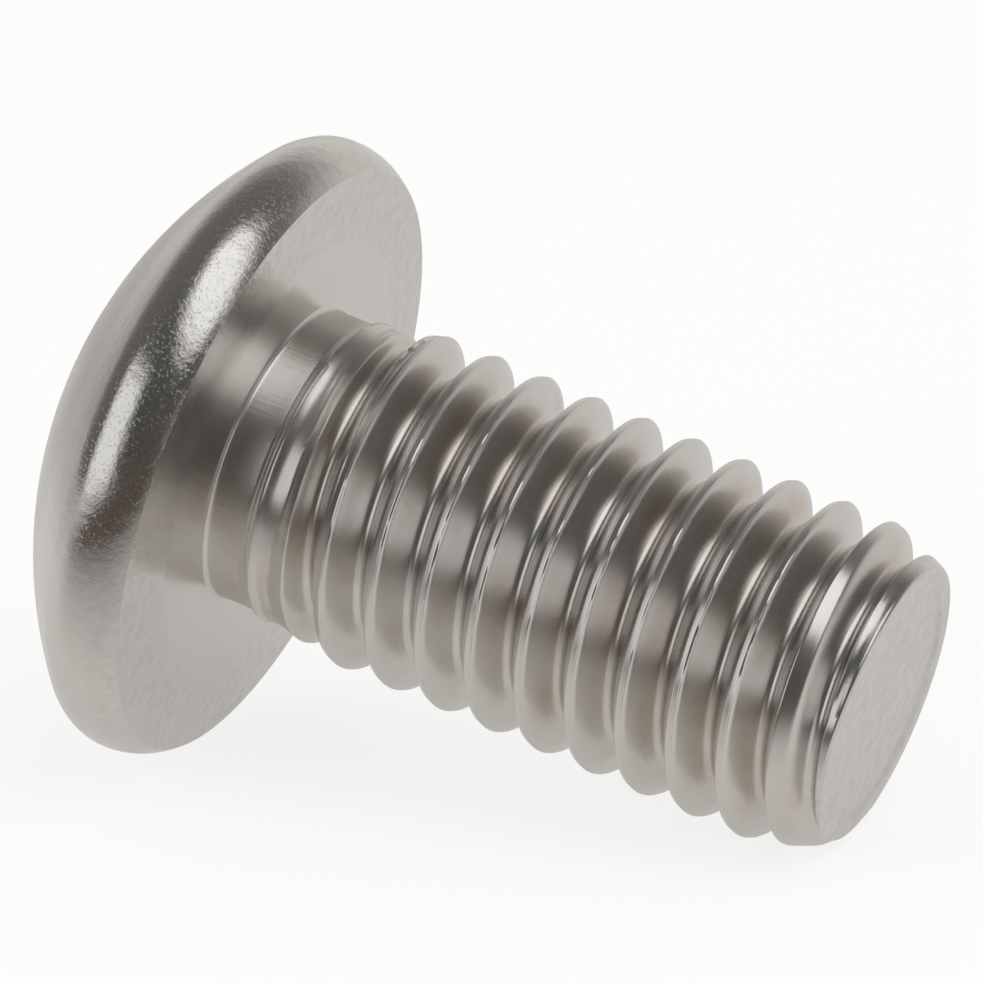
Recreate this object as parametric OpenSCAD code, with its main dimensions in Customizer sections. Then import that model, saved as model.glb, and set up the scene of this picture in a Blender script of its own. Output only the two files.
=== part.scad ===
// Button head machine screw with a plain neck and a rolled right-hand thread, cold formed in one piece.
// It is drawn along +Z with the bearing face of its head at zero, and then laid down on its side, so that
// the rim of the head and the last full crest of the thread touch the surface at Z = 0.

/* [Thread] */
// Outside diameter over the crests
thread_d = 4.92; // [4.8:0.01:4.98]
// Distance from one crest to the next
pitch = 0.8; // [0.7:0.05:0.9]
// Angle of each flank to a square cut
flank_angle = 30; // [27:0.5:33]
// Where round the screw the thread starts, counted from the side that lies down
thread_start = 234; // [0:1:359]
// Length over which the thread rises out of the neck
runout = 1.1; // [0.8:0.05:1.6]

/* [Shank] */
// Length from the bearing face to the middle of the end
shank_l = 9.7; // [8:0.01:12]
// Diameter of the plain neck, which is the blank that the thread is rolled on
neck_d = 4.38; // [4.3:0.01:4.46]
// Length of the plain neck
neck_l = 0.66; // [0.5:0.01:1]
// Fillet between the neck and the underside of the head
neck_fillet = 0.08; // [0.04:0.01:0.25]

/* [Point] */
// Length over which the crests shrink towards the end
point_l = 0.9; // [0.6:0.01:1.1]
// Diameter at the foot of the end's rounded edge
point_d = 4.24; // [4:0.02:4.3]
// Bulge of the point between its two diameters
point_bulge = 0.01; // [0.01:0.01:0.04]
// Radius of the end's rounded edge
end_round = 0.1; // [0.05:0.01:0.2]
// Width of the raised rim of the end face
end_rim = 0.28; // [0.1:0.01:0.4]
// Depth of the dish inside that rim
end_dish = 0.04; // [0.02:0.01:0.1]
// How far the end is cropped out of square
end_tilt = 2.2; // [0:0.1:3]
// Where round the screw the cropped end stands highest, counted from the side that lies down
end_tilt_turn = 265; // [0:1:359]

/* [Head] */
// Widest diameter of the head
head_d = 9.3; // [9:0.05:9.6]
// Height of the head above the bearing face
head_h = 2.65; // [2.5:0.05:2.8]
// Radius of the dome
dome_r = 6.5; // [6:0.1:7.5]
// Height of the widest line above the bearing face
widest_h = 0.7; // [0.55:0.01:0.85]
// Rounding from the widest line up to the dome
upper_round = 0.7; // [0.5:0.05:0.8]
// Rounding from the widest line down to the underside
lower_round = 0.95; // [0.9:0.05:1.2]
// Outer diameter of the flat ring that bears on the work
bearing_d = 6.45; // [5.8:0.05:7.5]
// Inner diameter of that ring, just wider than the thread
bearing_in_d = 5; // [5:0.05:5.6]
// Angle at which the underside rises inside that ring towards the neck
collar_angle = 3; // [1:0.5:5]
// Angle at which the underside slopes away outside that ring
relief_angle = 3; // [1:0.5:5]
// How far the head stands off the shank's axis, as cold heading leaves it
head_shift = 0.15; // [0:0.01:0.2]
// Where round the screw the head stands off, counted the same way
head_shift_turn = 333; // [0:1:359]

/* [Hexagon socket] */
// Width across its flats
socket_w = 3; // [2.9:0.01:3.1]
// Depth to the foot of its flats
socket_depth = 1.6; // [1.4:0.05:1.8]
// Depth of the conical floor below the flats
socket_cone = 0.4; // [0.2:0.05:0.5]
// Lead-in chamfer beyond the corners
socket_chamfer = 0.1; // [0.05:0.01:0.2]

/* [Hidden] */
$fn = 120;

// Steps along a round stretch of an outline
arc_steps = 10;
// Steps along one turn of the thread
turn_steps = 30;
// Steps round the root of the thread
root_steps = 3;
// Depth by which cutting shapes stand clear of what they cut
clear = 0.1;

neck_r = neck_d / 2;
bearing_in_r = bearing_in_d / 2;
point_r = point_d / 2;
end_r = point_r - end_round;
collar_h = (bearing_in_r - neck_r - neck_fillet) * tan(collar_angle);
head_r = head_d / 2;

// Thread form: flat crests an eighth of the pitch wide, flanks, and a round root that meets both flanks
crest_r = thread_d / 2;
crest_w = pitch / 8;
thread_depth = 0.6134 * pitch;
root_r = crest_r - thread_depth;
root_half_w = (pitch - crest_w) / 2 - thread_depth * tan(flank_angle);
root_round = root_half_w * cos(flank_angle) / (1 - sin(flank_angle));
// The groove's sides go on past the crests, but stop short of the next turn
groove_over = 0.35 * crest_w / tan(flank_angle);
groove_half_w = (pitch - crest_w) / 2 + groove_over * tan(flank_angle);
// The groove starts just clear of the neck and sinks to its full depth along the runout
groove_lift = neck_r + clear / 4 - root_r;
groove_turns = (shank_l + pitch - neck_l) / pitch;
groove_rings = ceil(groove_turns * turn_steps);

// The dome's centre lies on the axis, where the dome and the upper rounding meet smoothly
upper_c = [head_r - upper_round, -widest_h];
dome_z = sqrt(pow(dome_r - upper_round, 2) - pow(upper_c[0], 2)) - widest_h;
dome_start = atan2(-widest_h - dome_z, upper_c[0]);
flat_r = sqrt(dome_r * dome_r - pow(dome_z + head_h, 2));
dome_end = atan2(-head_h - dome_z, flat_r);
// The lower rounding ends where it meets the sloping underside
lower_c = [head_r - lower_round, -widest_h];
relief_drop = widest_h * cos(relief_angle) - (lower_c[0] - bearing_d / 2) * sin(relief_angle);
lower_end = 90 - relief_angle - acos(relief_drop / lower_round);

// Resting on its side: the rim of the head and the last full crest below the axis touch the surface
crest_z0 = neck_l + pitch / 2 - pitch * thread_start / 360;
full_end = shank_l - point_l;
rest_z = crest_z0 + pitch * floor((full_end - crest_z0) / pitch) + crest_w / 2;
rest_rise = lower_c[0] + head_shift * cos(head_shift_turn) - crest_r;
rest_run = rest_z + widest_h;
lie_angle = atan2(rest_rise, rest_run) + asin(lower_round / norm([rest_rise, rest_run]));
// Places of the origin: under the middle of the box that the lying screw fills
floor_drop = crest_r * cos(lie_angle) + rest_z * sin(lie_angle);
end_axis = [-sin(end_tilt) * cos(end_tilt_turn), -sin(end_tilt) * sin(end_tilt_turn), cos(end_tilt)];
ahead = [-sin(lie_angle), 0, cos(lie_angle)];
point_reach = shank_l * ahead[2] + end_round * (1 - end_axis * ahead) + end_r * norm(cross(end_axis, ahead));
head_reach = head_h * cos(lie_angle) + (flat_r + head_shift * cos(head_shift_turn)) * sin(lie_angle);

// Points along an arc; skip = 1 leaves out the first one, where the stretch before it ended
function arc(c, r, from, to, skip = 0) =
    [for (i = [skip : arc_steps]) let (a = from + (to - from) * i / arc_steps) c + r * [cos(a), sin(a)]];

// Points along the arc from p to q that stands proud of the straight line by the bulge
function bulged(p, q, bulge) =
    let (chord = norm(q - p), r = (chord * chord / 4 + bulge * bulge) / (2 * bulge),
         along = (q - p) / chord, out = [along[1], -along[0]],
         c = (p + q) / 2 - (r - bulge) * out,
         from = atan2(p[1] - c[1], p[0] - c[0]), to = atan2(q[1] - c[1], q[0] - c[0]))
    arc(c, r, from, to);

// Half outline of the head, from the middle of the underside out and up to the flat round the socket
head_outline = concat(
    [[0, 0], [bearing_d / 2, 0]],
    arc(lower_c, lower_round, lower_end, 0),
    arc(upper_c, upper_round, 0, dome_start, skip = 1),
    arc([0, dome_z], dome_r, dome_start, dome_end, skip = 1),
    [[0, -head_h]]);

// Half outline of the neck, the threaded length and the point, before the thread and the end are formed
shank_outline = concat(
    [[0, -widest_h], [bearing_in_r, -widest_h], [bearing_in_r, 0]],
    arc([neck_r + neck_fillet, collar_h + neck_fillet], neck_fillet, 270 - collar_angle, 180),
    [[neck_r, neck_l], [crest_r, neck_l + runout]],
    bulged([crest_r, full_end], [point_r, shank_l - end_round], point_bulge),
    [[point_r, shank_l + 2 * clear], [0, shank_l + 2 * clear]]);

// Half section of what the end's form leaves outside it: the dish, the rim and the rounded edge
end_section = concat(
    [[0, 2 * clear + end_round], [0, -end_dish], [end_r - end_rim - end_dish, -end_dish], [end_r - end_rim, 0]],
    arc([end_r, -end_round], end_round, 90, 30),
    [[end_r + end_round * cos(30) + clear * sin(30), -end_round / 2 - clear * cos(30)],
     [crest_r + clear, -end_round / 2 - clear * cos(30)], [crest_r + clear, 2 * clear + end_round]]);

// Section of the groove between two crests, as [along the axis, out from the axis]
groove_section = concat(
    [[-groove_half_w, crest_r + groove_over]],
    [for (i = [0 : root_steps]) let (a = (2 * i / root_steps - 1) * (90 - flank_angle))
        [root_round * sin(a), root_r + root_round * (1 - cos(a))]],
    [[groove_half_w, crest_r + groove_over]]);

// Share of the groove's depth that is still missing at a height along the screw
function missing(z) =
    let (s = min(1, max(0, (z - neck_l) / runout))) 1 - s * s * (3 - 2 * s);

// The groove's section at one step along its helix
function groove_ring(i) =
    let (a = thread_start + 360 * i / turn_steps, z = neck_l + pitch * i / turn_steps,
         lift = groove_lift * missing(z))
    [for (p = groove_section) [(p[1] + lift) * cos(a), (p[1] + lift) * sin(a), z + p[0]]];

module thread_groove() {
    n = len(groove_section);
    last = groove_rings * n;
    points = [for (i = [0 : groove_rings]) each groove_ring(i)];
    sides = [for (i = [0 : groove_rings - 1], j = [0 : n - 1])
        let (a = i * n + j, b = i * n + (j + 1) % n) each [[a, b + n, b], [a, a + n, b + n]]];
    start_cap = [for (j = [1 : n - 2]) [0, j, j + 1]];
    end_cap = [for (j = [1 : n - 2]) [last, last + j + 1, last + j]];
    polyhedron(points, concat(sides, start_cap, end_cap));
}

module hex_socket() {
    corner_r = socket_w / 2 / cos(30);
    translate([0, 0, -head_h]) {
        translate([0, 0, -clear]) cylinder(r = corner_r, h = socket_depth + clear, $fn = 6);
        cylinder(r1 = corner_r + socket_chamfer, r2 = corner_r - socket_chamfer, h = 2 * socket_chamfer);
        translate([0, 0, socket_depth - clear])
            cylinder(r1 = socket_w / 2 - clear / 2, r2 = 0, h = socket_cone + clear);
    }
}

module head() {
    translate(head_shift * [cos(head_shift_turn), sin(head_shift_turn), 0]) difference() {
        rotate_extrude() polygon(head_outline);
        hex_socket();
    }
}

module shank() {
    difference() {
        rotate_extrude() polygon(shank_outline);
        thread_groove();
        translate([0, 0, shank_l]) rotate(a = end_tilt, v = [sin(end_tilt_turn), -cos(end_tilt_turn), 0])
            rotate_extrude() polygon(end_section);
    }
}

// Turns the upright screw onto its side, with its point towards +X
module lay_down() {
    translate([(head_reach - point_reach) / 2, -head_shift * sin(head_shift_turn), floor_drop])
        rotate([0, 90 + lie_angle, 0]) children();
}

module screw() {
    color([0.72, 0.71, 0.69]) lay_down() {
        head();
        shank();
    }
}

screw();
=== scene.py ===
"""Button head machine screw lying on its side, cold headed in one piece, with a rolled thread."""
from math import acos, asin, atan2, ceil, cos, floor, hypot, pi, radians, sin, sqrt, tan

import bpy
from bpy.props import FloatProperty, FloatVectorProperty, IntProperty, PointerProperty
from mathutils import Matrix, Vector, noise


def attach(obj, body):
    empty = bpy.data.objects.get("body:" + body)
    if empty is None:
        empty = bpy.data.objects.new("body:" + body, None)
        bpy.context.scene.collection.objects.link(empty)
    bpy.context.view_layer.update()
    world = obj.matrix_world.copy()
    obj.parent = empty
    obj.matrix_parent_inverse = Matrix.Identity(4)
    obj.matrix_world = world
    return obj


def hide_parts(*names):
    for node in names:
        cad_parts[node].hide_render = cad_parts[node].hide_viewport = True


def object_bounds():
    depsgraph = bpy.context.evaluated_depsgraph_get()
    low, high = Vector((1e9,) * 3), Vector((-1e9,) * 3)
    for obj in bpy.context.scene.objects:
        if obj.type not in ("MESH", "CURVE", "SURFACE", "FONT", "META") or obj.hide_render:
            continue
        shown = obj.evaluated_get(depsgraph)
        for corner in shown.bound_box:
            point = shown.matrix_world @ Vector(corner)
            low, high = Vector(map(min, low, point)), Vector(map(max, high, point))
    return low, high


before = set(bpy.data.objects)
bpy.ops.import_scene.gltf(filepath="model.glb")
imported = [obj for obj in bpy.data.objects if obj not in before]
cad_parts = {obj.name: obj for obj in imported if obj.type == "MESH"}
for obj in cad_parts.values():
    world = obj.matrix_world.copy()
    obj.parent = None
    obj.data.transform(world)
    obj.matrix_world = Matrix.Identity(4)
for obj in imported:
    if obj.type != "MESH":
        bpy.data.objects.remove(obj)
cad_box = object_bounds()

# Rolling leaves marks of these sizes, in millimetres: rounded corners between the crests and the flanks,
# a fold near the middle of each crest, and crests that lean away from the head
CORNER_ROUND = 0.035
FOLD_PLACE, FOLD_HALF_WIDTH = 0.041, 0.014
LEAN_FROM, LEAN_SLOPE = 0.3, 0.35
# Heights over the neck's end, in millimetres: a shoulder, the hollow behind it with its share of the
# shoulder's height, and the foot of the slope up to the first full crest
SHOULDER_FROM, SHOULDER_TO = -0.055, 0.115
HOLLOW_FROM, HOLLOW_TO, HOLLOW_SHARE = 0.12, 0.27, 0.35
SLOPE_FROM = 0.46
# Height above the bearing face at which the thread's strip is cut off and the neck goes on
NECK_CUT = 0.4

bl_info = {
    "name": "Button Head Screw",
    "version": (1, 0, 0),
    "blender": (4, 5, 0),
    "location": "3D View > Sidebar > Screw",
    "description": "Makes a button head machine screw with a rolled thread, and a studio to show it in",
    "category": "Add Mesh",
}


def length(name, description, mm):
    """A size given in millimetres, kept in metres."""
    return FloatProperty(name=name, description=description, default=mm / 1000, min=0, precision=5,
                         subtype="DISTANCE", unit="LENGTH")


def angle(name, description, deg):
    """An angle given in degrees."""
    return FloatProperty(name=name, description=description, default=radians(deg), subtype="ANGLE",
                         unit="ROTATION")


def linear(code):
    """Turns an sRGB hex colour to linear values."""
    parts = [int(code[i:i + 2], 16) / 255 for i in (0, 2, 4)]
    return [c / 12.92 if c <= 0.04045 else ((c + 0.055) / 1.055) ** 2.4 for c in parts]


def colour(name, description, code):
    """A colour given as an sRGB hex value."""
    return FloatVectorProperty(name=name, description=description, default=linear(code), size=3,
                               min=0, max=1, subtype="COLOR")


class ScrewSizes(bpy.types.PropertyGroup):
    thread_d: length("Thread diameter", "Outside diameter over the crests", 4.92)
    pitch: length("Pitch", "Distance from one crest to the next", 0.8)
    flank_angle: angle("Flank angle", "Angle of each flank to a square cut", 30)
    thread_start: angle("Thread start", "Where round the screw the thread starts", 234)
    runout: length("Runout", "Length over which the thread rises out of the neck", 1.1)
    shank_l: length("Shank length", "From the bearing face to the middle of the end", 9.73)
    neck_d: length("Neck diameter", "Plain neck between head and thread", 4.38)
    neck_l: length("Neck length", "Length of the plain neck", 0.66)
    neck_fillet: length("Neck fillet", "Fillet between the neck and the underside of the head", 0.08)
    shoulder: length("Shoulder", "Height of the ragged steps where the rolling starts", 0.087)
    point_l: length("Point length", "Length over which the crests shrink", 0.95)
    point_d: length("Point diameter", "At the foot of the end's rounded edge", 4.24)
    point_bulge: length("Point bulge", "Bulge of the point between its diameters", 0.01)
    end_round: length("End rounding", "Radius of the end's rounded edge", 0.06)
    end_rim: length("End rim", "Width of the raised rim of the end face", 0.28)
    end_dish: length("End dish", "Depth of the dish inside that rim", 0.04)
    end_tilt: angle("End tilt", "How far the end is cropped out of square", 3)
    end_tilt_turn: angle("End tilt turn", "Where round the screw the cropped end stands highest", 250)
    head_d: length("Head diameter", "Widest diameter of the head", 9.3)
    head_h: length("Head height", "Height of the head above the bearing face", 2.65)
    dome_r: length("Dome radius", "Radius of the dome", 6.5)
    widest_h: length("Widest line", "Height of the widest line above the bearing face", 0.7)
    upper_round: length("Upper rounding", "From the widest line up to the dome", 0.7)
    lower_round: length("Lower rounding", "From the widest line down to the underside", 0.95)
    bearing_d: length("Bearing ring", "Outer diameter of the flat ring that bears on the work", 6.45)
    bearing_in_d: length("Bearing ring inside", "Inner diameter of that ring", 5)
    collar_angle: angle("Collar angle", "Slope of the underside inside that ring", 3)
    relief_angle: angle("Relief angle", "Slope of the underside outside that ring", 3)
    head_shift: length("Head shift", "How far the head stands off the shank's axis", 0.15)
    head_shift_turn: angle("Head shift turn", "Where round the screw the head stands off", 333)
    socket_w: length("Socket width", "Width across the hexagon's flats", 3)
    socket_depth: length("Socket depth", "Depth to the foot of the flats", 1.6)
    socket_cone: length("Socket cone", "Depth of the conical floor below the flats", 0.4)
    socket_chamfer: length("Socket chamfer", "Lead-in chamfer beyond the corners", 0.1)
    seam_depth: length("Crest seam depth", "Depth of the rolled fold along each crest", 0.012)
    turn_steps: IntProperty(name="Steps a turn", description="Steps round one turn of the thread",
                            default=160, min=24)


class ScrewFinish(bpy.types.PropertyGroup):
    steel: colour("Steel", "Bright stainless steel", "D6D4D1")
    # Painted shade and painted warm reflection: a darker brown tint laid on the neck and in the grooves
    painted_groove_shade: colour("Stain", "Faint brown tint left by lubricant in the grooves", "C9BEB2")
    grain: colour("Grain", "Dark of the fine grain on the underside and the end", "615F5D")
    roughness: FloatProperty(name="Roughness", description="Roughness of the bright surface",
                             default=0.2, min=0, max=1, subtype="FACTOR")


class StudioSettings(bpy.types.PropertyGroup):
    floor: colour("Floor", "Plain pale floor", "F2F1EE")
    azimuth: angle("Camera azimuth", "Where round the screw the camera stands", 25.47)
    elevation: angle("Camera elevation", "Height of the camera above the horizon", 18.55)
    distance: length("Camera distance", "From the camera to the screw", 230)
    target: FloatVectorProperty(name="Target", description="Point at the middle of the picture",
                                default=(-0.000614, 0.001186, 0.003982), size=3,
                                subtype="TRANSLATION", unit="LENGTH")
    lens: FloatProperty(name="Lens", description="Focal length in millimetres", default=594.2, min=1)


def in_mm(sizes):
    """The sizes as plain numbers, lengths in millimetres and angles in radians."""
    class Plain:
        pass
    plain = Plain()
    for name, prop in sizes.bl_rna.properties.items():
        if prop.type in {"FLOAT", "INT"}:
            value = getattr(sizes, name)
            setattr(plain, name, value * 1000 if prop.unit == "LENGTH" else value)
    return plain


class Form:
    """The screw's form in millimetres, upright, with its bearing face at zero and its point up."""

    def __init__(self, sizes):
        s = self.s = in_mm(sizes)
        self.crest_r, self.neck_r, self.point_r = s.thread_d / 2, s.neck_d / 2, s.point_d / 2
        self.end_r = self.point_r - s.end_round
        # Flat crests an eighth of the pitch wide, and the depth of a metric thread with a round root
        self.crest_w = s.pitch / 8
        self.depth = 0.6134 * s.pitch
        self.root_r = self.crest_r - self.depth
        root_half = (s.pitch - self.crest_w) / 2 - self.depth * tan(s.flank_angle)
        self.root_round = root_half * cos(s.flank_angle) / (1 - sin(s.flank_angle))
        self.root_half = self.root_round * cos(s.flank_angle)
        self.full_end = s.shank_l - s.point_l
        self.edge_z = s.shank_l - s.end_round
        self.collar_h = (s.bearing_in_d / 2 - self.neck_r - s.neck_fillet) * tan(s.collar_angle)
        # Height of the first groove's middle at angle zero
        self.groove_z = s.neck_l - s.pitch * s.thread_start / (2 * pi)
        # At its start the groove stands just clear of the shoulder
        self.lift_most = self.neck_r + s.shoulder + 0.025 - self.root_r
        turn = s.end_tilt_turn
        self.up = Vector((-sin(s.end_tilt) * cos(turn), -sin(s.end_tilt) * sin(turn), cos(s.end_tilt)))
        self.bulge_arc()
        self.head_arcs()
        self.lying()

    def bulge_arc(self):
        p, q = Vector((self.crest_r, self.full_end)), Vector((self.point_r, self.edge_z))
        chord, b = (q - p).length, self.s.point_bulge
        self.bulge_r = (chord * chord / 4 + b * b) / (2 * b)
        along = (q - p) / chord
        self.bulge_c = (p + q) / 2 - (self.bulge_r - b) * Vector((along.y, -along.x))

    def head_arcs(self):
        s = self.s
        self.upper_c = (s.head_d / 2 - s.upper_round, -s.widest_h)
        self.lower_c = (s.head_d / 2 - s.lower_round, -s.widest_h)
        self.dome_z = sqrt((s.dome_r - s.upper_round) ** 2 - self.upper_c[0] ** 2) - s.widest_h
        self.dome_start = atan2(-s.widest_h - self.dome_z, self.upper_c[0])
        self.flat_r = sqrt(s.dome_r ** 2 - (self.dome_z + s.head_h) ** 2)
        self.dome_end = atan2(-s.head_h - self.dome_z, self.flat_r)
        run = self.lower_c[0] - s.bearing_d / 2
        drop = s.widest_h * cos(s.relief_angle) - run * sin(s.relief_angle)
        self.lower_end = pi / 2 - s.relief_angle - acos(drop / s.lower_round)
        self.shift = s.head_shift * Vector((cos(s.head_shift_turn), sin(s.head_shift_turn), 0))

    def lying(self):
        """The angle and place at which the screw rests on its rim and its last full crest."""
        s = self.s
        crest_z = s.neck_l + s.pitch / 2 - s.pitch * s.thread_start / (2 * pi)
        rest_z = crest_z + s.pitch * floor((self.full_end - crest_z) / s.pitch) + self.crest_w / 2
        rise = self.lower_c[0] + self.shift.x - self.crest_r
        run = rest_z + s.widest_h
        self.lie = atan2(rise, run) + asin(s.lower_round / hypot(rise, run))
        drop = self.crest_r * cos(self.lie) + rest_z * sin(self.lie)
        head_reach = s.head_h * cos(self.lie) + (self.flat_r + self.shift.x) * sin(self.lie)
        self.place = Vector((cad_box[0][0] + head_reach / 1000, -self.shift.y / 1000, drop / 1000))

    def blank(self, z, turn=0.0):
        """Radius of the blank that the thread is rolled on."""
        s = self.s
        if z < s.neck_l + s.runout:
            # Coarse and fine raggedness round the screw
            rag = noise.noise(Vector((cos(turn) * 5, sin(turn) * 5, 1.7)))
            rag += 0.5 * noise.noise(Vector((cos(turn) * 15, sin(turn) * 15, 4.1)))
            shape = smooth(z, s.neck_l + SHOULDER_FROM, s.neck_l + SHOULDER_TO)
            shape -= HOLLOW_SHARE * smooth(z, s.neck_l + HOLLOW_FROM, s.neck_l + HOLLOW_TO + 0.03 * rag)
            foot = s.neck_l + SLOPE_FROM + 0.05 * rag
            rise = max(0, z - foot) / (s.neck_l + s.runout - foot)
            low = self.neck_r + s.shoulder * shape
            return low + (self.crest_r - low) * rise
        if z < self.full_end:
            return self.crest_r
        r = self.point_r
        if z < self.edge_z:
            r = self.bulge_c.x + sqrt(self.bulge_r ** 2 - (z - self.bulge_c.y) ** 2)
        over = z - self.edge_z - self.tip(turn)
        if over > 0:
            r = min(r, self.end_r + sqrt(max(0, s.end_round ** 2 - over * over)))
        return r

    def tip(self, turn, r=None):
        """How much higher than its middle the cropped end stands at an angle and radius."""
        return (self.point_r if r is None else r) * tan(self.s.end_tilt) * cos(turn - self.s.end_tilt_turn)

    def lift(self, z):
        """How far the groove at this height still stands above its full depth."""
        return self.lift_most * (1 - smooth(z, self.s.neck_l, self.s.neck_l + self.s.runout))

    def groove(self, across):
        """Radius of the groove's wall at a distance from its middle: a round root and two flanks."""
        across = abs(across)
        if across < self.root_half:
            return self.root_r + self.root_round - sqrt(self.root_round ** 2 - across ** 2)
        start = self.root_r + self.root_round * (1 - sin(self.s.flank_angle))
        return start + (across - self.root_half) / tan(self.s.flank_angle)

    def half_land(self, z, lift):
        """Distance from the groove's middle to where its wall meets the blank."""
        rise = self.blank(z) - lift - self.root_r
        foot = self.root_round * (1 - sin(self.s.flank_angle))
        if rise <= 0:
            return 0
        if rise < foot:
            return sqrt(self.root_round ** 2 - (self.root_round - rise) ** 2)
        return self.root_half + (rise - foot) * tan(self.s.flank_angle)

    def wall(self, turn, z):
        """Radius at an angle and height: the lower of the blank and of the grooves beside it."""
        s = self.s
        t = (z - self.groove_z) / s.pitch - turn / (2 * pi)
        r = self.blank(z, turn)
        # Each full crest is a little lower on the side that faces the head
        ahead = (t - floor(t) - 0.5) * s.pitch
        if z < self.full_end and self.lift(z) < 0.01:
            r -= LEAN_SLOPE * min(self.crest_w, max(0, LEAN_FROM * self.crest_w - ahead))
        for k in (floor(t), floor(t) + 1):
            middle = z - (t - k) * s.pitch
            r = soft_min(r, self.groove((t - k) * s.pitch) + self.lift(middle), CORNER_ROUND)
        return r


def smooth(value, low, high):
    """An even rise from nought to one between two values."""
    t = min(1, max(0, (value - low) / (high - low)))
    return t * t * (3 - 2 * t)


def soft_min(a, b, width):
    """The lower of two values, with the corner between them rounded."""
    h = max(width - abs(a - b), 0) / width
    return min(a, b) - h * h * width / 4


def deselect():
    for o in bpy.context.selected_objects:
        o.select_set(False)


def activate(obj):
    deselect()
    obj.select_set(True)
    bpy.context.view_layer.objects.active = obj


def edit(obj, mode="VERT"):
    """Enters edit mode with nothing selected."""
    activate(obj)
    bpy.ops.object.mode_set(mode="EDIT")
    bpy.ops.mesh.select_mode(type=mode)
    bpy.ops.mesh.select_all(action="DESELECT")


def object_mode():
    bpy.ops.object.mode_set(mode="OBJECT")


def apply_modifier(obj, kind, **settings):
    activate(obj)
    m = obj.modifiers.new(kind.title(), kind)
    for key, value in settings.items():
        setattr(m, key, value)
    bpy.ops.object.modifier_apply(modifier=m.name)


def pitch_columns(form):
    """Places across one groove, from crest middle to crest middle, dense where the form turns."""
    root, land, half = form.root_half, (form.s.pitch - form.crest_w) / 2, form.s.pitch / 2
    side = [root * k / 3 for k in range(4)]
    side += [root + (land - root) * f for f in (0.2, 0.4, 0.6, 0.8, 0.93, 1)]
    side += [land + (half - land) * f for f in (0.18, 0.42, 0.62, 0.8, 1)]
    return [-c for c in side[:0:-1]] + side


def rolled(form, co):
    """Where a point of the plain helical strip lies on the rolled thread."""
    s = form.s
    turn = atan2(co.y, co.x)
    t = (co.z - form.groove_z) / s.pitch - turn / (2 * pi)
    across = (t - round(t)) * s.pitch
    middle = co.z - across
    lift = form.lift(middle)
    side = 1 if across >= 0 else -1
    plain, land, half = form.root_half, (s.pitch - form.crest_w) / 2, s.pitch / 2
    # The columns follow the line where the groove's wall meets the blank, and keep apart
    edge = form.half_land(middle + side * land, lift)
    edge = form.half_land(middle + side * edge, lift)
    foot = min(plain, max(edge, 0.04))
    edge = min(max(edge, foot + 0.08), half - 0.02)
    a = abs(across)
    if a <= plain:
        a = a * foot / plain
    elif a <= land:
        a = foot + (a - plain) * (edge - foot) / (land - plain)
    else:
        a = edge + (a - land) * (half - edge) / (half - land)
    z = middle + side * a
    r = form.wall(turn, z)
    # The rolled fold, a ragged line along each crest
    formed = 1 - lift / form.lift_most
    rag = noise.noise(Vector((cos(turn) * 9, sin(turn) * 9, middle * 11)))
    fold = max(0, 1 - abs(half - a - FOLD_PLACE) / FOLD_HALF_WIDTH)
    if side < 0 and formed > 0.3 and z < form.full_end:
        r -= s.seam_depth * formed * fold * (0.8 + 0.9 * rag)
    return Vector((r * cos(turn), r * sin(turn), z))


def thread_strip(form):
    """One pitch of profile, wound up into the threaded length and given its form."""
    s = form.s
    bpy.ops.mesh.primitive_plane_add(size=1, location=(0, 0, 0))
    obj = bpy.context.object
    obj.name = obj.data.name = "screw_body"
    edit(obj)
    bpy.ops.mesh.select_all(action="SELECT")
    bpy.ops.mesh.merge(type="CENTER")
    columns = pitch_columns(form)
    # The strip starts below the neck's cut and goes on past the end
    below = ceil((form.groove_z + s.pitch * 1.5 - 0.3) / s.pitch)
    low = form.groove_z - below * s.pitch
    bpy.ops.transform.translate(value=(form.crest_r, 0, low + columns[0]))
    for a, b in zip(columns, columns[1:]):
        bpy.ops.mesh.extrude_vertices_move(TRANSFORM_OT_translate={"value": (0, 0, b - a)})
    object_mode()
    turns = ceil((s.shank_l + 0.3 - low) / s.pitch) + 1
    apply_modifier(obj, "SCREW", axis="Z", angle=2 * pi, screw_offset=s.pitch, iterations=turns,
                   steps=s.turn_steps, render_steps=s.turn_steps, use_smooth_shade=True)
    edit(obj)
    bpy.ops.mesh.select_all(action="SELECT")
    bpy.ops.mesh.remove_doubles(threshold=0.002)
    object_mode()
    for v in obj.data.vertices:
        v.co = rolled(form, v.co)
    edit(obj)
    bpy.ops.mesh.select_all(action="SELECT")
    bpy.ops.mesh.bisect(plane_co=(0, 0, NECK_CUT), plane_no=(0, 0, 1), clear_inner=True)
    bpy.ops.mesh.select_all(action="SELECT")
    bpy.ops.mesh.bisect(plane_co=(0, 0, form.edge_z), plane_no=form.up, clear_outer=True)
    object_mode()
    return obj


def grow(obj, at, normal, rings):
    """Extrudes the open edge in a plane through the rings; each ring gives a point for an angle."""
    edit(obj)
    object_mode()
    for v in obj.data.vertices:
        v.select = abs((v.co - Vector(at)).dot(normal)) < 1e-4
    bpy.ops.object.mode_set(mode="EDIT")
    bpy.ops.mesh.select_mode(type="EDGE")
    for ring in rings:
        bpy.ops.mesh.extrude_edges_move()
        object_mode()
        for v in obj.data.vertices:
            if v.select:
                v.co = ring(atan2(v.co.y, v.co.x))
        bpy.ops.object.mode_set(mode="EDIT")
    bpy.ops.mesh.merge(type="CENTER")
    object_mode()


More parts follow.
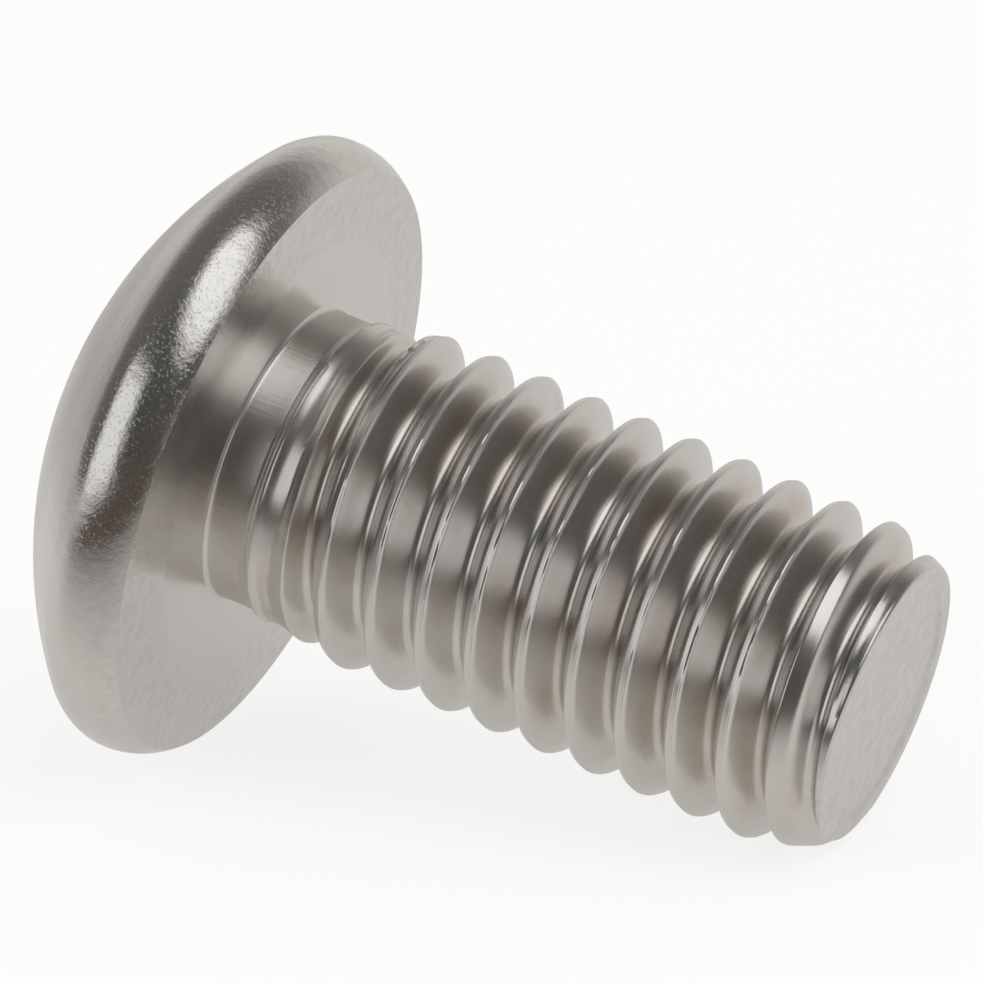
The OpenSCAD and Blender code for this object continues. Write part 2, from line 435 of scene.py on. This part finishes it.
def close_point(form, obj):
    """Rounds the end's edge over and sinks the dish inside its rim."""
    s = form.s

    def edge(up):
        def place(turn):
            z = form.edge_z + s.end_round * sin(up) + form.tip(turn)
            r = form.wall(turn, z)
            return Vector((r * cos(turn), r * sin(turn), z))
        return place

    def flat(r, z):
        return lambda turn: Vector((r * cos(turn), r * sin(turn), z + form.tip(turn, r)))

    rings = [edge(radians(a)) for a in (12, 25, 38, 51, 64, 77, 90)]
    inner = form.end_r - s.end_rim
    rings += [flat(form.end_r - 0.04, s.shank_l)]
    rings += [flat(inner + 0.05 - 0.1 * f, s.shank_l - s.end_dish * smooth(f, 0, 1))
              for f in (0, 0.15, 0.3, 0.45, 0.6, 0.75, 0.9, 1)]
    rings += [flat(inner * f, s.shank_l - s.end_dish) for f in (0.6, 0.25)]
    grow(obj, (0, 0, form.edge_z), form.up, rings)


def close_head(form, obj):
    """Runs the neck into its fillet, and out over the underside, the rim and the dome."""
    s = form.s
    ring_in, ring_out = s.bearing_in_d / 2, s.bearing_d / 2

    def ring(r, z):
        away = min(1, max(0, (r - ring_in) / (ring_out - ring_in))) if z > -s.widest_h else 1
        c = form.shift * away
        return lambda turn: Vector((c.x + r * cos(turn), c.y + r * sin(turn), z))

    def arc(c, r, start, end, steps):
        return [ring(c[0] + r * cos(a), c[1] + r * sin(a))
                for a in (start + (end - start) * i / steps for i in range(steps + 1))]

    rings = [ring(form.neck_r, 0.25)]
    rings += arc((form.neck_r + s.neck_fillet, form.collar_h + s.neck_fillet), s.neck_fillet,
                 pi, 3 * pi / 2 - s.collar_angle, 8)
    # Rings close beside each crease keep it crisp
    rings += [ring(ring_in - 0.03, 0.03 * tan(s.collar_angle)), ring(ring_in + 0.02, 0),
              ring((ring_in + ring_out) / 2, 0), ring(ring_out - 0.03, 0), ring(ring_out, 0)]
    lip = [form.lower_c[i] + s.lower_round * f(form.lower_end) for i, f in ((0, cos), (1, sin))]
    rings += [ring(ring_out + (lip[0] - ring_out) * f, lip[1] * f) for f in (0.03, 0.3, 0.65, 0.96)]
    rings += arc(form.lower_c, s.lower_round, form.lower_end, 0, 14)
    rings += arc(form.upper_c, s.upper_round, 0, form.dome_start, 12)[1:]
    rings += arc((0, form.dome_z), s.dome_r, form.dome_start, form.dome_end, 16)[1:]
    rings += [ring(form.flat_r - 0.03, -s.head_h), ring(form.flat_r * 0.5, -s.head_h)]
    grow(obj, (0, 0, NECK_CUT), (0, 0, 1), rings)


def cut_socket(form, obj):
    """Cuts the hexagon socket with its lead-in chamfer and conical floor."""
    s = form.s
    corner = s.socket_w / 2 / cos(pi / 6)
    x, y = form.shift.x, form.shift.y
    # How far the tools stand out of the head
    clear, funnel_clear = 0.5, 0.2
    bpy.ops.mesh.primitive_cylinder_add(vertices=6, radius=corner, depth=s.socket_depth + clear,
                                        location=(x, y, -s.head_h + s.socket_depth / 2 - clear / 2))
    cutter = bpy.context.object
    edit(cutter, "FACE")
    object_mode()
    for p in cutter.data.polygons:
        p.select = p.normal.z > 0.5
    bpy.ops.object.mode_set(mode="EDIT")
    # A narrow ledge at the foot of the flats, and the sloping floor
    bpy.ops.mesh.inset(thickness=0.06)
    bpy.ops.mesh.extrude_region_move(TRANSFORM_OT_translate={"value": (0, 0, s.socket_cone)})
    bpy.ops.mesh.merge(type="CENTER")
    object_mode()
    bpy.ops.mesh.primitive_cone_add(
        vertices=96, radius1=corner + s.socket_chamfer + funnel_clear, radius2=corner - s.socket_chamfer,
        depth=2 * s.socket_chamfer + funnel_clear,
        location=(x, y, -s.head_h + s.socket_chamfer - funnel_clear / 2))
    funnel = bpy.context.object
    for tool in (cutter, funnel):
        activate(tool)
        bpy.ops.object.transform_apply(location=True, rotation=True, scale=True)
    for tool in (cutter, funnel):
        apply_modifier(obj, "BOOLEAN", operation="DIFFERENCE", object=tool, solver="EXACT")
    deselect()
    cutter.select_set(True)
    funnel.select_set(True)
    bpy.ops.object.delete()


def node(tree, kind, links=(), **settings):
    """Adds a node; links maps an input's name or number to a value or to another node's output."""
    n = tree.nodes.new(kind)
    for key, value in settings.items():
        setattr(n, key, value)
    for key, value in dict(links).items():
        if isinstance(value, bpy.types.NodeSocket):
            tree.links.new(value, n.inputs[key])
        else:
            n.inputs[key].default_value = value
    return n


def bright_stainless(form, finish):
    """Austenitic stainless steel, cold headed, thread rolled and tumbled bright: a soft mirror with
    drawing lines along the neck, rolling lines along the thread and fine dents on the rim."""
    material, tree = new_material("bright_rolled_stainless_steel")
    place = node(tree, "ShaderNodeTexCoord").outputs["Object"]
    # The screw's own upright frame, in millimetres
    own = node(tree, "ShaderNodeMapping",
               {"Vector": place, "Location": form.place, "Rotation": (0, pi / 2 + form.lie, 0),
                "Scale": (0.001,) * 3}, vector_type="TEXTURE").outputs[0]
    x, y, z = node(tree, "ShaderNodeSeparateXYZ", {0: own}).outputs
    flat = node(tree, "ShaderNodeCombineXYZ", {0: x, 1: y}).outputs[0]
    radius = node(tree, "ShaderNodeVectorMath", {0: flat}, operation="LENGTH").outputs["Value"]

    # Parts of the screw, each with the edges that it lies within: along what, where the part starts to
    # show and where it shows in full, in millimetres; the head lies below z = 0
    head, threaded = (z, 0.02, -0.02), ((z, 0.6, 0.9), (z, 9.6, 9.4))
    parts = {
        "neck": ((z, 0.02, 0.1), (z, 0.7, 0.5)),
        "thread": threaded,
        "flanks": (*threaded, (radius, 2.42, 2.3)),
        "grooves": (*threaded, (radius, 2.4, 2.15)),
        "end": ((z, 9.5, 9.62),),
        "rim": (head, (radius, 3.75, 4.15)),
        "dome": (head, (radius, 4.15, 3.75), (z, -0.9, -1.1)),
        "relief": (head, (radius, 3.2, 3.27), (z, -0.5, -0.3)),
    }
    for name, edges in parts.items():
        inside = 1.0
        for value, outer, inner in edges:
            inside = node(tree, "ShaderNodeMapRange", {0: value, 1: outer, 2: inner, 4: inside}).outputs[0]
        parts[name] = inside

    # Drawing lines along the neck, 0.03 mm apart; the real ones are finer, and wouldn't show
    drawn_at = node(tree, "ShaderNodeVectorMath", {0: own, 1: (34, 34, 1)}, operation="MULTIPLY").outputs[0]
    drawn = node(tree, "ShaderNodeTexNoise", {"Vector": drawn_at, "Scale": 1.0, "Detail": 3.0}).outputs[0]
    # Rolling lines round the thread, as far apart
    across = [node(tree, "ShaderNodeMath", {0: value, 1: 30.0}, operation="MULTIPLY").outputs[0]
              for value in (radius, z)]
    rolled_at = node(tree, "ShaderNodeCombineXYZ", {0: across[0], 1: across[1], 2: x}).outputs[0]
    lines = node(tree, "ShaderNodeTexNoise", {"Vector": rolled_at, "Scale": 1.0, "Detail": 3.0}).outputs[0]
    # Tumbling dents from 0.2 mm down, and pits about 0.05 mm wide
    dents = node(tree, "ShaderNodeTexNoise",
                 {"Vector": own, "Scale": 5.0, "Detail": 7.0, "Roughness": 0.64}).outputs[0]
    specks = node(tree, "ShaderNodeTexNoise",
                  {"Vector": own, "Scale": 22.0, "Detail": 3.0, "Roughness": 0.6}).outputs[0]
    pits = node(tree, "ShaderNodeMapRange", {0: specks, 1: 0.58, 2: 0.7}).outputs[0]

    # The rim is tumbled hard, and the end and the underside are smoother; heights are in 0.002 mm
    height = 0.0
    for pattern, part, depth in ((drawn, "neck", 1.6), (lines, "thread", 0.15), (dents, "rim", 4.2),
                                 (dents, "end", 0.7), (dents, "relief", 0.7), (pits, "rim", -0.8)):
        here = node(tree, "ShaderNodeMath", {0: parts[part], 1: depth}, operation="MULTIPLY").outputs[0]
        height = node(tree, "ShaderNodeMath", {0: pattern, 1: here, 2: height},
                      operation="MULTIPLY_ADD").outputs[0]
    bump = node(tree, "ShaderNodeBump",
                {"Height": height, "Strength": 1.0, "Distance": 0.000002}).outputs[0]

    # A faint brown tint, in clouds about 1 mm wide, on the neck and in the grooves: painted shade and
    # painted warm reflection
    cloud = node(tree, "ShaderNodeTexNoise", {"Vector": own, "Scale": 0.9, "Detail": 4.0}).outputs[0]
    neck_and_grooves = node(tree, "ShaderNodeMath", {0: parts["neck"], 1: parts["grooves"]},
                  operation="MAXIMUM").outputs[0]
    shade_clouds = node(tree, "ShaderNodeMapRange", {0: cloud, 1: 0.4, 2: 0.7, 4: 0.75}).outputs[0]
    painted_shade = node(tree, "ShaderNodeMath", {0: shade_clouds, 1: neck_and_grooves}, operation="MULTIPLY").outputs[0]
    tint = node(tree, "ShaderNodeMix", {0: painted_shade, 6: (*finish.steel, 1), 7: (*finish.painted_groove_shade, 1)},
                data_type="RGBA").outputs[2]
    # A fine grain greys the underside outside the bearing ring, and lightly the cropped end
    grainy = node(tree, "ShaderNodeMath", {0: parts["end"], 1: 1.3, 2: parts["relief"]},
                  operation="MULTIPLY_ADD").outputs[0]
    specked = node(tree, "ShaderNodeMapRange", {0: dents, 1: 0.62, 2: 0.35, 4: 0.12}).outputs[0]
    grain = node(tree, "ShaderNodeMath", {0: specked, 1: grainy}, operation="MULTIPLY").outputs[0]
    tint = node(tree, "ShaderNodeMix", {0: grain, 6: tint, 7: (*finish.grain, 1)},
                data_type="RGBA").outputs[2]

    # The tumbled rim shines the most, and the drawn neck the least
    rough = node(tree, "ShaderNodeMapRange",
                 {0: cloud, 1: 0.3, 2: 0.7, 3: finish.roughness - 0.03,
                  4: finish.roughness + 0.04}).outputs[0]
    for part, more in (("rim", -0.1), ("dome", 0.06), ("flanks", 0.06), ("neck", 0.14)):
        rough = node(tree, "ShaderNodeMath", {0: parts[part], 1: more, 2: rough},
                     operation="MULTIPLY_ADD").outputs[0]
    shader = node(tree, "ShaderNodeBsdfPrincipled",
                  {"Base Color": tint, "Metallic": 1.0, "Roughness": rough, "Normal": bump}).outputs[0]
    node(tree, "ShaderNodeOutputMaterial", {"Surface": shader})
    return material


class MESH_OT_make_screw(bpy.types.Operator):
    """Models the screw in one piece and lays it on its side"""
    bl_idname = "mesh.make_screw"
    bl_label = "Make Screw"

    def execute(self, context):
        form = Form(context.scene.screw_sizes)
        deselect()
        screw = thread_strip(form)
        close_point(form, screw)
        close_head(form, screw)
        edit(screw)
        bpy.ops.mesh.select_all(action="SELECT")
        bpy.ops.mesh.normals_make_consistent(inside=False)
        object_mode()
        cut_socket(form, screw)
        activate(screw)
        bpy.ops.object.shade_smooth_by_angle(angle=radians(32))
        screw.rotation_euler = (0, pi / 2 + form.lie, 0)
        screw.location = form.place
        screw.scale = (0.001,) * 3
        bpy.ops.object.transform_apply(location=True, rotation=True, scale=True)
        screw.data.materials.clear()
        screw.data.materials.append(bright_stainless(form, context.scene.screw_finish))
        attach(screw, "root")
        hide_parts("screw")
        return {"FINISHED"}


# Each light's place round from the camera, its height, and how wide and tall it looks, all in degrees as
# seen from the screw, then its radiance and shape
SOFT_LIGHTS = {
    "tall_softbox": (43, 56, 46, 62, 1.08, "ELLIPSE"),
    "side_softbox": (-56, 13, 50, 54, 0.87, "RECTANGLE"),
    "strip_light": (72, 8, 22, 30, 0.34, "RECTANGLE"),
}


class SCENE_OT_make_studio(bpy.types.Operator):
    """Lays the pale floor and sets up the soft lights, the dark cloth round them and the camera"""
    bl_idname = "scene.make_studio"
    bl_label = "Make Studio"

    def execute(self, context):
        studio = context.scene.studio_settings
        set_camera(context.scene, studio)
        white_world(context.scene)
        pale_floor(studio)
        ground_sheet(studio)
        dark_tent(studio)
        for name, (turn, height, *look) in SOFT_LIGHTS.items():
            soft_light(name, studio.azimuth + radians(turn), radians(height), *look)
        return {"FINISHED"}


def towards(azimuth, elevation):
    """The direction from the screw towards an azimuth and elevation."""
    return Vector((sin(azimuth) * cos(elevation), -cos(azimuth) * cos(elevation), sin(elevation)))


def set_camera(scene, studio):
    view = towards(studio.azimuth, studio.elevation)
    bpy.ops.object.camera_add(location=Vector(studio.target) + view * studio.distance,
                              rotation=view.to_track_quat("Z", "Y").to_euler())
    camera = bpy.context.object
    camera.data.lens = studio.lens
    camera.data.clip_start = 0.01
    camera.data.clip_end = 10
    scene.camera = camera


def seen_directly(tree):
    """One for camera, glossy and transmission rays, so that metal shows the white background too."""
    path = node(tree, "ShaderNodeLightPath").outputs
    seen = path["Is Camera Ray"]
    for ray in ("Is Glossy Ray", "Is Transmission Ray"):
        seen = node(tree, "ShaderNodeMath", {0: seen, 1: path[ray]}, operation="MAXIMUM").outputs[0]
    return seen


def new_material(name):
    material = bpy.data.materials.new(name)
    material.use_nodes = True
    material.node_tree.nodes.clear()
    return material, material.node_tree


def white_world(scene):
    """White where it is seen, and a plain soft fill for the rest."""
    world = bpy.data.worlds.new("studio")
    world.use_nodes = True
    tree = world.node_tree
    tree.nodes.clear()
    fill = node(tree, "ShaderNodeBackground", {"Color": (1, 1, 1, 1), "Strength": 0.5}).outputs[0]
    white = node(tree, "ShaderNodeBackground", {"Color": (1, 1, 1, 1), "Strength": 1.0}).outputs[0]
    both = node(tree, "ShaderNodeMixShader", {0: seen_directly(tree), 1: fill, 2: white}).outputs[0]
    node(tree, "ShaderNodeOutputWorld", {"Surface": both})
    scene.world = world


def pale_floor(studio):
    """White paper, of which the shadow of the screw takes a share."""
    bpy.ops.mesh.primitive_plane_add(size=4, location=(0, 0, 0))
    sheet = bpy.context.object
    sheet.name = "floor"
    material, tree = new_material("white_paper")
    paper = node(tree, "ShaderNodeBsdfDiffuse", {"Color": (*studio.floor, 1)}).outputs[0]
    white = node(tree, "ShaderNodeEmission", {"Color": (1, 1, 1, 1), "Strength": 1.11}).outputs[0]
    share = node(tree, "ShaderNodeMath", {0: seen_directly(tree), 1: 0.72}, operation="MULTIPLY").outputs[0]
    both = node(tree, "ShaderNodeMixShader", {0: share, 1: paper, 2: white}).outputs[0]
    node(tree, "ShaderNodeOutputMaterial", {"Surface": both})
    sheet.data.materials.append(material)


def only_reflected(obj):
    """Shows in the metal alone: it stands in for surroundings that the camera doesn't see."""
    obj.visible_camera = obj.visible_diffuse = obj.visible_shadow = False
    obj.visible_transmission = obj.visible_volume_scatter = False


def ground_sheet(studio):
    """The grey ground that the metal mirrors: pale round the screw, and dark in front of it; it mostly
    glows, as painted light, instead of being lit.
    """
    bpy.ops.mesh.primitive_plane_add(size=4, location=(0, 0, 0.00001))
    sheet = bpy.context.object
    sheet.name = "ground_sheet"
    material, tree = new_material("glowing_grey_ground")
    place = node(tree, "ShaderNodeTexCoord").outputs["Object"]
    ahead, aside = [
        node(tree, "ShaderNodeVectorMath", {0: place, 1: way}, operation="DOT_PRODUCT").outputs["Value"]
        for way in (towards(studio.azimuth, 0), towards(studio.azimuth + pi / 2, 0))]
    # The dark starts 3 mm in front of the screw, and much further off on its right
    left = node(tree, "ShaderNodeMath", {0: aside, 1: -0.25, 2: -0.0015},
                operation="MULTIPLY_ADD").outputs[0]
    right = node(tree, "ShaderNodeMath", {0: aside, 1: -1.1}, operation="MULTIPLY").outputs[0]
    edge = node(tree, "ShaderNodeMath", {0: left, 1: right}, operation="MINIMUM").outputs[0]
    depth = node(tree, "ShaderNodeMath", {0: ahead, 1: edge}, operation="ADD").outputs[0]
    dark = node(tree, "ShaderNodeMapRange", {0: depth, 1: 0.0015, 2: 0.0125}).outputs[0]
    grey = node(tree, "ShaderNodeMix", {0: dark, 6: (*linear("F8F5F1"), 1), 7: (*linear("6A605A"), 1)},
                data_type="RGBA").outputs[2]
    # Far off to the left the ground carries a painted pool of light, from the light that stands there
    far = node(tree, "ShaderNodeMath", {0: ahead, 1: 0.25, 2: aside}, operation="MULTIPLY_ADD").outputs[0]
    shine = node(tree, "ShaderNodeMapRange", {0: far, 1: -0.018, 2: -0.035}).outputs[0]
    grey = node(tree, "ShaderNodeMix", {0: shine, 6: grey, 7: (*linear("D8D5D2"), 1)},
                data_type="RGBA").outputs[2]
    lit = node(tree, "ShaderNodeBsdfDiffuse", {"Color": grey}).outputs[0]
    # Painted light: seven tenths of the ground's brightness is a glow, which the screw's shadow doesn't
    # darken
    glow = node(tree, "ShaderNodeEmission", {"Color": grey, "Strength": 0.8}).outputs[0]
    both = node(tree, "ShaderNodeMixShader", {0: 0.7, 1: lit, 2: glow}).outputs[0]
    node(tree, "ShaderNodeOutputMaterial", {"Surface": both})
    sheet.data.materials.append(material)
    only_reflected(sheet)


def dark_tent(studio):
    """Dark cloth all round, which opens behind the screw onto pale paper; both glow, as painted light,
    instead of being lit.
    """
    bpy.ops.mesh.primitive_uv_sphere_add(segments=48, ring_count=24, radius=1, location=(0, 0, 0))
    tent = bpy.context.object
    tent.name = "dark_tent"
    material, tree = new_material("glowing_cloth_and_paper")
    place = node(tree, "ShaderNodeTexCoord").outputs["Object"]
    height = node(tree, "ShaderNodeSeparateXYZ", {0: place}).outputs["Z"]
    back = node(tree, "ShaderNodeVectorMath", {0: place, 1: towards(studio.azimuth + radians(160), 0)},
                operation="DOT_PRODUCT").outputs["Value"]
    # The paper is widest at its foot, and fades out towards its sides and its top
    widening = node(tree, "ShaderNodeMath", {0: height, 1: -0.35, 2: back},
                    operation="MULTIPLY_ADD").outputs[0]
    paper = 0.58
    for value, outer, inner in ((widening, 0.0, 0.92), (height, 0.95, 0.35)):
        paper = node(tree, "ShaderNodeMapRange", {0: value, 1: outer, 2: inner, 4: paper},
                     interpolation_type="SMOOTHSTEP").outputs[0]
    cloth = node(tree, "ShaderNodeMapRange", {0: back, 1: -1.0, 2: 0.2, 3: 0.09, 4: 0.16},
                 interpolation_type="SMOOTHSTEP").outputs[0]
    # Painted light: the paper and the cloth glow with these strengths
    light = node(tree, "ShaderNodeMath", {0: paper, 1: cloth}, operation="ADD").outputs[0]
    glow = node(tree, "ShaderNodeEmission", {"Color": (*linear("FDF9F4"), 1), "Strength": light}).outputs[0]
    node(tree, "ShaderNodeOutputMaterial", {"Surface": glow})
    tent.data.materials.append(material)
    only_reflected(tent)


def soft_light(name, azimuth, elevation, wide, tall, radiance, shape):
    """A soft light that faces the screw, as wide and tall as it looks from there in degrees."""
    distance = 0.4
    out = towards(azimuth, elevation)
    bpy.ops.object.light_add(type="AREA", location=out * distance,
                             rotation=out.to_track_quat("Z", "Y").to_euler())
    lamp = bpy.context.object
    lamp.name = name
    lamp.data.shape = shape
    lamp.data.size = 2 * distance * tan(radians(wide / 2))
    lamp.data.size_y = 2 * distance * tan(radians(tall / 2))
    area = lamp.data.size * lamp.data.size_y * (pi / 4 if shape == "ELLIPSE" else 1)
    lamp.data.energy = radiance * pi * area
    lamp.visible_camera = False


class VIEW3D_PT_screw(bpy.types.Panel):
    """Lists the screw's sizes, its finish and the studio"""
    bl_label = "Screw"
    bl_space_type = "VIEW_3D"
    bl_region_type = "UI"
    bl_category = "Screw"

    def draw(self, context):
        scene = context.scene
        self.layout.operator("mesh.make_screw")
        self.layout.operator("scene.make_studio")
        for group in (scene.screw_sizes, scene.screw_finish, scene.studio_settings):
            column = self.layout.column()
            for name in group.__annotations__:
                column.prop(group, name)


CLASSES = (ScrewSizes, ScrewFinish, StudioSettings, MESH_OT_make_screw, SCENE_OT_make_studio,
           VIEW3D_PT_screw)


def register():
    for c in CLASSES:
        bpy.utils.register_class(c)
    bpy.types.Scene.screw_sizes = PointerProperty(type=ScrewSizes)
    bpy.types.Scene.screw_finish = PointerProperty(type=ScrewFinish)
    bpy.types.Scene.studio_settings = PointerProperty(type=StudioSettings)


def unregister():
    del bpy.types.Scene.screw_sizes, bpy.types.Scene.screw_finish, bpy.types.Scene.studio_settings
    for c in reversed(CLASSES):
        bpy.utils.unregister_class(c)


def main():
    register()
    bpy.context.scene.view_settings.view_transform = "Standard"
    bpy.ops.mesh.make_screw()
    bpy.ops.scene.make_studio()


if __name__ == "__main__":
    main()
